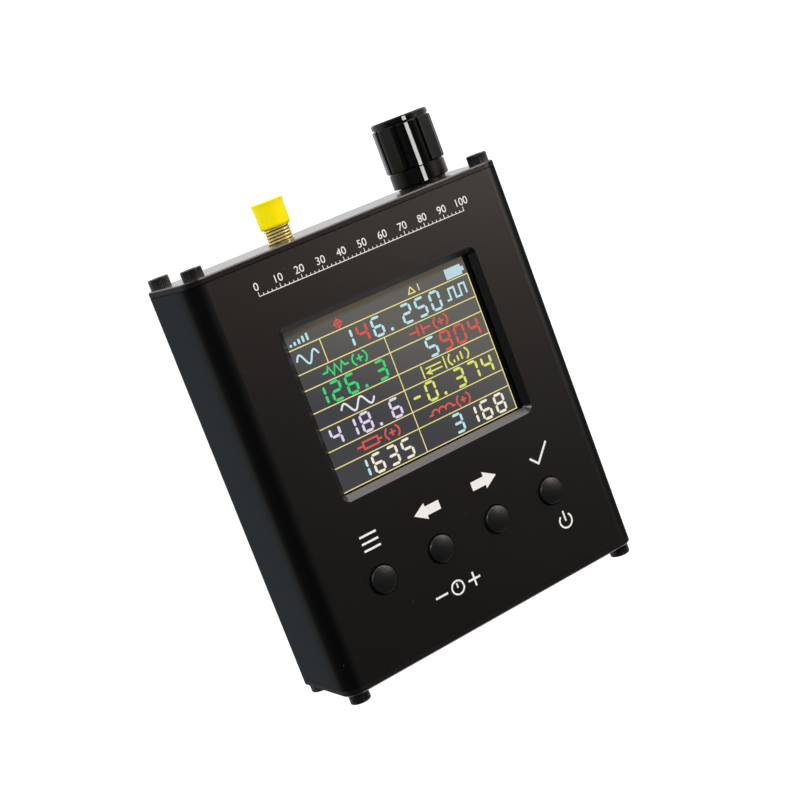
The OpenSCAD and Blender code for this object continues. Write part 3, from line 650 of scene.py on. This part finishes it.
def flat_sign(name, shapes, low_z, thick, finish):
    """One thin solid fused from shapes that may overlap, each a list of outlines."""
    sign, *others = [plate(name, outlines, low_z, thick) for outlines in shapes]
    clean(sign, 1e-4)
    for other in others:
        clean(other, 1e-4)
        carve(sign, other, "UNION")
    sign.data.transform(Matrix.Scale(MM, 4))
    clean(sign)
    return dress(sign, finish)


SEGMENTS = {
    "0": "abcdef", "1": "bc", "2": "abged", "3": "abgcd", "4": "fgbc",
    "5": "afgcd", "6": "afgedc", "7": "abc", "8": "abcdefg", "9": "abcdfg", "-": "g",
}
DIGIT_W, DIGIT_H, STROKE, SPLIT, PITCH = 2.34, 4.09, 0.6, 0.1, 4.02


def segment(x0, y0, x1, y1):
    """Bar with pointed ends between two corners of a digit."""
    way = (Vector((x1, y1)) - Vector((x0, y0))).normalized()
    across = Vector((-way.y, way.x)) * STROKE / 2
    start, end = Vector((x0, y0)) + way * SPLIT, Vector((x1, y1)) - way * SPLIT
    shoulder = way * STROKE / 2
    corners = (
        start, start + shoulder + across, end - shoulder + across,
        end, end - shoulder - across, start + shoulder - across,
    )
    return [tuple(c) for c in corners]


def digit(sign, x, y):
    """Outlines of one seven-segment digit round (x, y), or of a point."""
    w, h = DIGIT_W / 2, DIGIT_H / 2
    if sign == ".":
        return oblong(x - 1.1, y - h - 0.2, x - 0.4, y - h + 0.5)
    ends = {
        "a": (-w, h, w, h), "b": (w, h, w, 0), "c": (w, 0, w, -h), "d": (-w, -h, w, -h),
        "e": (-w, 0, -w, -h), "f": (-w, h, -w, 0), "g": (-w, 0, w, 0),
    }
    return [
        segment(x + e[0], y + e[1], x + e[2], y + e[3])
        for e in (ends[s] for s in SEGMENTS[sign])
    ]


def number(name, digits, last_x, y, paints):
    """A reading, right-aligned; paints gives the finish of its runs of digits."""
    first = 0
    for part, (count, finish) in enumerate(paints):
        outlines = []
        for i in range(first, first + count):
            outlines += digit(digits[i], last_x - (len(digits) - 1 - i) * PITCH, y)
        first += count
        flat_sign(f"{name}_{part + 1}", [outlines], SCREEN_Z, LIT_T, finish)


def wave(x0, x1, y, height, turns):
    """Points on a sine wave."""
    steps = int(16 * turns)
    return [
        (x0 + (x1 - x0) * i / steps, y + height * math.sin(2 * math.pi * turns * i / steps))
        for i in range(steps + 1)
    ]


def brackets(x0, x1, y):
    """Strokes of a pair of round brackets."""
    bow, height = 0.75, 1.35
    steps = [i / 4 for i in range(-4, 5)]
    return [
        [(x + side * bow * t * t, y + height * t) for t in steps]
        for x, side in ((x0, 1), (x1, -1))
    ]


def cross(x, y, size):
    """Strokes of an upright cross; size is half its width."""
    return [[(x - size, y), (x + size, y)], [(x, y - size), (x, y + size)]]


# ---- pieces ---------------------------------------------------------------


def display(paints):
    """The lit picture: its ground, the table's lines, seven readings and their signs."""
    left, right, low, high = -24.48, 24.4, -7.13, 30.8
    flat_sign("picture_ground", [oblong(left, low, right, high)], GLASS_Z, PANEL_T,
              screen_ground())
    thin = 0.23
    rows = (26.65, 20.99, 17.25, 11.92, 8.04, 2.70, -1.29, -7.0)
    edge, middle, first = 24.26, -1.60, -16.60
    lines = [oblong(left, y - thin / 2, edge + thin / 2, y + thin / 2) for y in rows]
    columns = (
        (edge, rows[7], rows[0]), (middle, rows[7], rows[1]), (first, rows[1], rows[0])
    )
    for x, start, end in columns:
        lines.append(oblong(x - thin / 2, start, x + thin / 2, end))
    flat_sign("table_lines", lines, SCREEN_Z, LIT_T, paints["yellow"])

    white, red, green, cyan = (paints[key] for key in ("white", "red", "green", "cyan"))
    violet, lime, cream = (paints[key] for key in ("violet", "lime", "cream"))
    number("reading_frequency", "146.250", 13.95, 23.85, ((1, cyan), (1, red), (5, cyan)))
    number("reading_resistance", "126.3", -5.1, 14.58, ((5, green),))
    number("reading_ratio", "418.6", -5.1, 5.37, ((5, violet),))
    number("reading_impedance", "1635", -5.9, -4.16, ((1, cyan), (3, cream)))
    number("reading_reactance", "5904", 21.03, 14.58, ((1, cyan), (3, red)))
    number("reading_reflection", "-0.374", 20.93, 5.37, ((6, lime),))
    number("reading_inductance", "3168", 20.53, -4.16, ((1, cyan), (3, cream)))

    def sign(name, strokes, finish, width=0.42):
        shapes = [ribbon(points, width) for points in strokes]
        flat_sign(name, shapes, SCREEN_Z, LIT_T, finish)

    sign("sign_wave", [wave(-23.6, -17.9, 23.8, 1.3, 1.5)], cyan, 0.45)
    sign("sign_pulses", [[(16.9, 22.6), (18, 22.6), (18, 25.1), (19.5, 25.1), (19.5, 22.6),
                          (21, 22.6), (21, 25.1), (22.5, 25.1), (22.5, 22.6)]], cyan, 0.45)
    y = 19.12
    zigzag = [(-18.9, y), (-17.7, y)] + [
        (-17.2 + 0.9 * i, y + (1.1 if i % 2 == 0 else -1.1)) for i in range(5)
    ] + [(-13.1, y), (-12, y)]
    sign("sign_resistor", [zigzag], green)
    sign("sign_resistor_scale", brackets(-11, -7.2, y) + cross(-9.1, y, 0.8), green)
    sign("sign_capacitor", [[(4.6, y), (6.9, y)], [(6.9, y - 1.15), (6.9, y + 1.15)],
                            [(8.2, y - 1.15), (8.2, y + 1.15)], [(8.2, y), (10.4, y)]], red)
    sign("sign_capacitor_scale", brackets(11.4, 15.2, y) + cross(13.3, y, 0.8), red)
    y = 9.98
    sign("sign_standing_wave", [wave(-17.9, -9.1, y, 1.2, 2)], white, 0.45)
    sign("sign_reflection", [[(4.4, y - 1.5), (4.4, y + 1.5)], [(10.6, y - 1.5), (10.6, y + 1.5)],
                             [(5.4, y + 0.55), (9.7, y + 0.55)], [(9.7, y - 0.55), (5.4, y - 0.55)],
                             [(6.7, y + 0.05), (5.4, y - 0.55), (6.7, y - 1.15)]], lime, 0.36)
    sign("sign_steps", brackets(11.7, 17.3, y) + [
        [(13.1 + 1.1 * i, y - 1.0), (13.1 + 1.1 * i, y - 0.3 + 0.6 * i)] for i in range(3)], lime)
    y = 0.7
    sign("sign_load", [[(-17.6, y), (-15.9, y)], [(-12, y), (-10.9, y)],
                       [(-15.9, y - 0.8), (-12, y - 0.8)], [(-15.9, y + 0.8), (-12, y + 0.8)],
                       [(-15.9, y - 1), (-15.9, y + 1)], [(-12, y - 1), (-12, y + 1)]], red)
    sign("sign_load_scale", brackets(-10, -6.2, y) + cross(-8.1, y, 0.8), red)
    coil = [(2.1, y - 0.6), (2.9, y - 0.6)]
    for i in range(3):
        coil += arc(3.85 + 1.9 * i, y - 0.6, 0.95, 180, 0, 10)[(1 if i else 0):]
    sign("sign_coil", [coil + [(9.4, y - 0.6)]], red)
    sign("sign_coil_scale", brackets(10, 13.6, y - 0.3) + cross(11.8, y - 0.3, 0.75), red)

    level = [[(-23.6 + 1.1 * i, 27.35), (-23.6 + 1.1 * i, 27.9 + 0.28 * i)] for i in range(5)]
    sign("sign_level", level, cyan, 0.55)
    sign("sign_target", [arc(-11.1, 28.1, 0.8, 0, 180, 12), arc(-11.1, 28.1, 0.8, 180, 360, 12)]
         + cross(-11.1, 28.1, 1.25), red, 0.26)
    sign("sign_ready", [[(8, 27.5), (8.95, 29.1)], [(8.95, 29.1), (9.9, 27.5)],
                        [(7.9, 27.6), (10, 27.6)], [(11, 27.5), (11, 29.1)]],
         paints["yellow"], 0.26)
    battery = [oblong(18.6, 27, 23.1, 29.45), oblong(23, 27.7, 23.8, 28.75)]
    flat_sign("sign_battery", battery, SCREEN_Z, LIT_T, paints["battery"])


def face_signs(ink):
    """White signs on the face: a numbered scale, key signs and two arrows."""

    def sign(name, shapes):
        flat_sign(name, shapes, FACE_Z, INK_T, ink)

    thin, start, step = 0.16, -27.0, 5.5
    foot, base, long_top, short_top, number_y = 40.3, 40.46, 41.35, 40.9, 41.75
    comb = [(start - thin / 2, foot), (start + 10 * step + thin / 2, foot)]
    for i in range(50, -1, -1):
        x = start + i * step / 5
        top = long_top if i % 5 == 0 else short_top
        low_x, high_x = x - thin / 2, x + thin / 2
        comb += [(high_x, base), (high_x, top), (low_x, top), (low_x, base)]
    sign("scale_ticks", [[comb]])
    for i in range(11):
        bpy.ops.object.text_add()
        text = bpy.context.object
        text.name = f"scale_number_{i}"
        text.data.body = str(10 * i)
        text.data.size = 2.5 * MM
        text.data.align_x = "CENTER"
        text.data.extrude = INK_T / 2 * MM
        bpy.ops.object.convert(target="MESH")
        text = bpy.context.object
        spot = ((start + i * step) * MM, number_y * MM, (FACE_Z + INK_T / 2) * MM)
        text.data.transform(Matrix.Translation(spot))
        clean(text)
        dress(text, ink)

    pen = 0.5
    for i, y in enumerate((-17.2, -18.85, -20.5)):
        sign(f"menu_bar_{i + 1}", [oblong(-25.9, y - pen / 2, -21.5, y + pen / 2)])
    sign("left_arrow", [[[(-11.5, -18.5), (-8.2, -16.6), (-8.2, -17.5), (-4.45, -17.5),
                          (-4.45, -19.66), (-8.2, -19.66), (-8.2, -20.55)]]])
    sign("right_arrow", [[[(11.8, -18.4), (8.4, -16.4), (8.4, -17.45), (4.75, -17.45),
                           (4.75, -19.55), (8.4, -19.55), (8.4, -20.4)]]])
    sign("confirm_sign", [ribbon([(21.6, -18.9), (23.5, -20.8), (27.3, -16.7)], pen)])
    sign("minus_sign", [oblong(-13.8, -38.2, -10.4, -37.7)])
    sign("turn_sign", [ring(-7.55, -37.95, 1.6, 0.42)])
    sign("turn_mark", [oblong(-7.75, -38, -7.35, -36.9)])
    sign("plus_sign", [ribbon(points, pen) for points in cross(-2.9, -37.95, 1.7)])
    sign("power_ring", [ribbon(arc(25.1, -36.2, 1.72, 130, 410, 30), 0.44)])
    sign("power_bar", [oblong(24.88, -36.3, 25.32, -33.8)])


def port_barrel(gold):
    """The radio port with its real thread, which stands for the plain CAD solid."""
    major, pitch = THREAD_MAJOR, THREAD_PITCH
    minor = major - 0.47 * pitch
    length, base_depth, leg_length, chamfer = 8.3, 2.0, 4, 0.1
    top = TUBE_END + PLATE_T + length
    low = TUBE_END - base_depth
    turns = int((top - low) / pitch) + 4
    crest, edge = 0.16 * pitch, 0.005
    half = pitch / 2
    buried = minor - 0.08
    ridge = [(buried, edge), (major, half - crest), (major, half + crest), (buried, pitch - edge)]
    profile = bpy.data.meshes.new("port_thread")
    profile.from_pydata(
        [(r * MM, 0, h * MM) for r, h in ridge], [(i, (i + 1) % 4) for i in range(4)], []
    )
    thread = bpy.data.objects.new("port_thread", profile)
    bpy.context.scene.collection.objects.link(thread)
    modify(thread, "SCREW", axis="Z", screw_offset=pitch * MM, iterations=turns, steps=72,
           render_steps=72)
    turn = Matrix.Rotation(-math.pi / 2, 4, "X")
    shift = Matrix.Translation((PORT_X * MM, (low - 1.5 * pitch) * MM, AXIS_Z * MM))
    thread.data.transform(shift @ turn)
    pick(thread)
    bpy.ops.object.mode_set(mode="EDIT")
    bpy.ops.mesh.select_all(action="SELECT")
    bpy.ops.mesh.fill_holes(sides=0)
    bpy.ops.object.mode_set(mode="OBJECT")
    clean(thread, 1e-7)

    def rounded_end(name, radius):
        """Bar along the port's axis, whose bevelled mouth is the same for every radius."""
        made = bar(name, radius, TUBE_END - 1.0, top, PORT_X, AXIS_Z, 144)
        pick(made)
        bpy.ops.object.mode_set(mode="EDIT")
        bevel_end(made, top, (PORT_X, AXIS_Z), radius - minor + chamfer, 1)
        bpy.ops.object.mode_set(mode="OBJECT")
        return made

    carve(thread, rounded_end("port_envelope", major + 0.05), "INTERSECT")
    barrel = rounded_end("threaded_port", minor)
    half_base = 3.3
    base = block("port_base", (PORT_X - half_base, low, AXIS_Z - half_base),
                 (PORT_X + half_base, TUBE_END, AXIS_Z + half_base))
    modify(base, "BEVEL", width=0.2 * MM, segments=2)
    carve(barrel, base, "UNION")
    leg, leg_gap, overlap = 0.9, 0.85, 0.1
    for sx in (-1, 1):
        for sz in (-1, 1):
            x = PORT_X + sx * (half_base - leg / 2)
            z = AXIS_Z + sz * (leg_gap + leg / 2)
            prong = block("port_leg", (x - leg / 2, low - leg_length, z - leg / 2),
                          (x + leg / 2, low + overlap, z + leg / 2))
            carve(barrel, prong, "UNION")
    bore, mouth, mouth_depth = 2.1, 2.3, 2
    carve(barrel, bar("port_bore", bore, low - 1, top + 1, PORT_X, AXIS_Z, 64))
    carve(barrel, bar("port_mouth", mouth, top - mouth_depth, top + 1, PORT_X, AXIS_Z, 64))
    carve(barrel, thread, "UNION")
    dress(barrel, gold, smooth=35)
    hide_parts("port_body")


def screw_head(steel):
    """Eight knurled socket screws, modelled once and copied to the plates' corners."""
    radius, height, teeth = 2.4, 2.4, 30
    knurl_low, knurl_high, groove, rounding = 0.22, height - 0.5, 0.945, 0.22
    shank_radius, shank_length = 1.18, 8
    socket_half_flat, socket_depth = 1.0, 1.1
    head = bar("plate_screw", radius, 0, height, sides=3 * teeth)
    pick(head)
    bpy.ops.object.mode_set(mode="EDIT")
    for y in (knurl_low, knurl_high):
        bpy.ops.mesh.select_all(action="SELECT")
        bpy.ops.mesh.bisect(plane_co=(0, y * MM, 0), plane_no=(0, 1, 0))
    bevel_end(head, height, (0, 0), rounding, 3)
    bpy.ops.object.mode_set(mode="OBJECT")
    for vertex in head.data.vertices:
        spot = vertex.co / MM
        tooth = round(math.atan2(spot.z, spot.x) / (2 * math.pi) * 3 * teeth)
        if knurl_low - 0.1 < spot.y < knurl_high + 0.1 and tooth % 3 == 0:
            vertex.co.x *= groove
            vertex.co.z *= groove
    shank = bar("screw_shank", shank_radius, -shank_length, 0.2, sides=32)
    carve(head, shank, "UNION")
    corner = socket_half_flat / math.cos(math.pi / 6)
    carve(head, bar("screw_socket", corner, height - socket_depth, height + 1, sides=6))
    clean(head)
    inset, each_turned = 3.4, 37
    count = 0
    for end in (1, -1):
        for sx in (-1, 1):
            for z in (inset, CASE_D - inset):
                count += 1
                copy = bpy.data.objects.new(f"plate_screw_{count}", head.data.copy())
                bpy.context.scene.collection.objects.link(copy)
                turn = Matrix.Rotation(math.radians(each_turned * count), 4, "Y")
                flip = Matrix.Rotation(0 if end > 0 else math.pi, 4, "X")
                spot = (sx * (CASE_W / 2 - inset) * MM, end * (TUBE_END + PLATE_T) * MM, z * MM)
                copy.data.transform(Matrix.Translation(spot) @ flip @ turn)
                dress(copy, steel)
                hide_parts("plate_screws")
    bpy.data.objects.remove(head)


def dress_frame(finishes):
    """Gives each CAD node that stays its finish."""
    for finish, names in finishes.items():
        for name in names:
            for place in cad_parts[name].material_slots:
                place.material = finish


# ---- studio ---------------------------------------------------------------


def area_light(name, spot, size, power, colour):
    """Rectangular lamp aimed at the origin."""
    data = bpy.data.lights.new(name, "AREA")
    data.shape = "RECTANGLE"
    data.size, data.size_y = size
    data.energy = power
    data.color = colour
    lamp = bpy.data.objects.new(name, data)
    lamp.location = spot
    lamp.rotation_euler = (Vector() - Vector(spot)).to_track_quat("-Z", "Y").to_euler()
    bpy.context.scene.collection.objects.link(lamp)


def studio():
    """White floor and backdrop, soft lights and the camera."""
    look = Look("pale_floor")
    tone = look.noise(look.place(), 0.004, 3)
    floor_finish = look.finish(
        Base_Color=look.mix(tone, tint(122, 122, 122), tint(126, 126, 126)),
        Roughness=0.9,
        Specular_IOR_Level=0.1,
        Emission_Color=(1.0, 1.0, 1.0, 1.0),
        Emission_Strength=1.02,
    )
    bpy.ops.mesh.primitive_plane_add(size=8, location=(0, 0, -0.0001))
    floor = bpy.context.object
    floor.name = "studio_floor"
    floor.data.materials.append(floor_finish)

    white = Look("white_backdrop").finish(
        Base_Color=(0, 0, 0, 1), Emission_Color=(1, 1, 1, 1), Emission_Strength=1.1
    )
    bpy.ops.mesh.primitive_uv_sphere_add(radius=3.9)
    backdrop = bpy.context.object
    backdrop.name = "studio_backdrop"
    backdrop.data.materials.append(white)
    backdrop.visible_diffuse = backdrop.visible_glossy = backdrop.visible_shadow = False

    black = Look("black_card").finish(
        Base_Color=(0, 0, 0, 1), Roughness=1.0, Specular_IOR_Level=0.0
    )
    card = block("left_card", (-76, -250, 10), (-75, 250, 300))
    card.data.materials.append(black)
    card.visible_camera = card.visible_diffuse = card.visible_shadow = False
    card.visible_transmission = False

    world = bpy.data.worlds.new("studio_air")
    world.use_nodes = True
    air = world.node_tree.nodes["Background"].inputs
    air["Color"].default_value = (0.9, 0.96, 1, 1)
    air["Strength"].default_value = 0.05
    bpy.context.scene.world = world

    sun = bpy.data.lights.new("soft_key", "SUN")
    sun.energy, sun.angle, sun.color = 1.25, math.radians(50), (0.9, 0.96, 1)
    lamp = bpy.data.objects.new("soft_key", sun)
    lamp.rotation_euler = Vector((-0.35, 0.65, 0.67)).to_track_quat("Z", "Y").to_euler()
    bpy.context.scene.collection.objects.link(lamp)
    area_light("sheen_panel", (0.78, 0.325, 0.99), (0.4, 0.4), 5.8, (1, 0.8, 0.7))
    area_light("back_panel", (0.56, 1.11, 0.32), (0.95, 0.5), 10, (1, 0.92, 0.9))
    area_light("right_panel", (1.3, 0.5, 0.5), (0.9, 0.8), 4.5, (0.97, 1, 0.95))
    area_light("band_panel", (0.96, 0.0, 0.87), (0.45, 0.12), 0.55, (1, 0.97, 0.92))
    area_light("front_panel", (0.6, -1.1, 0.3), (0.9, 0.4), 1.3, (1, 1, 1))
    area_light("spark", (-0.8, 0.56, 0.62), (0.06, 0.06), 5.5, (1, 1, 1))

    data = bpy.data.cameras.new("photo_camera")
    data.lens, data.sensor_width = 73.23, 36
    data.clip_start, data.clip_end = 0.01, 20
    camera = bpy.data.objects.new("photo_camera", data)
    camera.matrix_world = Matrix((
        (0.81234, 0.38559, -0.43752, -163.636 * MM),
        (-0.35073, 0.92240, 0.16173, 65.771 * MM),
        (0.46593, 0.02207, 0.88454, 349.244 * MM),
        (0, 0, 0, 1),
    ))
    bpy.context.scene.collection.objects.link(camera)
    bpy.context.scene.camera = camera
    bpy.context.scene.view_settings.view_transform = "Standard"


studio()
gold = gold_plate()
steel = screw_steel()
black_caps = button_plastic()
gloss = knob_gloss()
dark_plastic = plain_plastic("black_housing_plastic", tint(20, 20, 21), tint(34, 34, 35), 0.4)
white_plastic = plain_plastic(
    "white_moulded_plastic", tint(214, 212, 204), tint(236, 234, 226), 0.4
)
board = circuit_board()
bright_steel = bare_metal(
    "ground_steel", tint(168, 170, 172), tint(214, 214, 214), 0.18, (1, 6, 1)
)
blackened = bare_metal("blackened_brass", tint(26, 26, 25), tint(44, 43, 40), 0.3)
tin_plate = bare_metal(
    "tinned_sheet", tint(160, 162, 164), tint(206, 207, 208), 0.24, (1, 1, 4)
)
dress_frame({
    case_paint(): ["case_tube"],
    plate_coat(): ["top_plate", "bottom_plate"],
    gloss: ["knob"],
    pointer_paint(): ["knob_pointer"],
    black_caps: ["menu_cap", "left_cap", "right_cap", "confirm_cap"],
    cap_vinyl(): ["dust_cap"],
    gold: ["port_contact"],
    plain_plastic("white_insulator", tint(228, 228, 224), tint(244, 244, 240), 0.45):
        ["port_insulator"],
    glass_border(): ["display_glass"],
    foam(): ["display_gasket", "battery_pad"],
    white_plastic: ["display_tray", "encoder_rotor", "flex_socket", "battery_plug",
                    "battery_socket"],
    dark_plastic: ["display_bracket", "tact_switches", "encoder_housing", "encoder_switch",
                   "board_header", "processor", "menu_plunger", "left_plunger", "right_plunger",
                   "confirm_plunger"],
    flat_cable(): ["display_flex"],
    board: ["display_board", "main_board", "encoder_board"],
    bright_steel: ["encoder_shaft"],
    blackened: ["encoder_bushing", "encoder_nut", "encoder_washer"],
    tin_plate: ["encoder_frame", "shield_frame", "shield_lid", "charging_socket"],
    battery_foil(): ["battery_pack"],
    plain_plastic("red_lead", tint(170, 20, 14), tint(196, 34, 24), 0.35): ["battery_leads"],
})
display({
    "yellow": lit_colour("lit_yellow", 255, 238, 150),
    "cyan": lit_colour("lit_cyan", 196, 240, 248),
    "red": lit_colour("lit_red", 236, 92, 78),
    "green": lit_colour("lit_green", 62, 226, 128),
    "violet": lit_colour("lit_violet", 238, 222, 250),
    "lime": lit_colour("lit_lime", 234, 240, 112),
    "cream": lit_colour("lit_cream", 255, 248, 224),
    "white": lit_colour("lit_white", 240, 242, 248),
    "battery": lit_colour("lit_pale_cyan", 196, 226, 236),
})
face_signs(face_ink())
port_barrel(gold)
screw_head(steel)
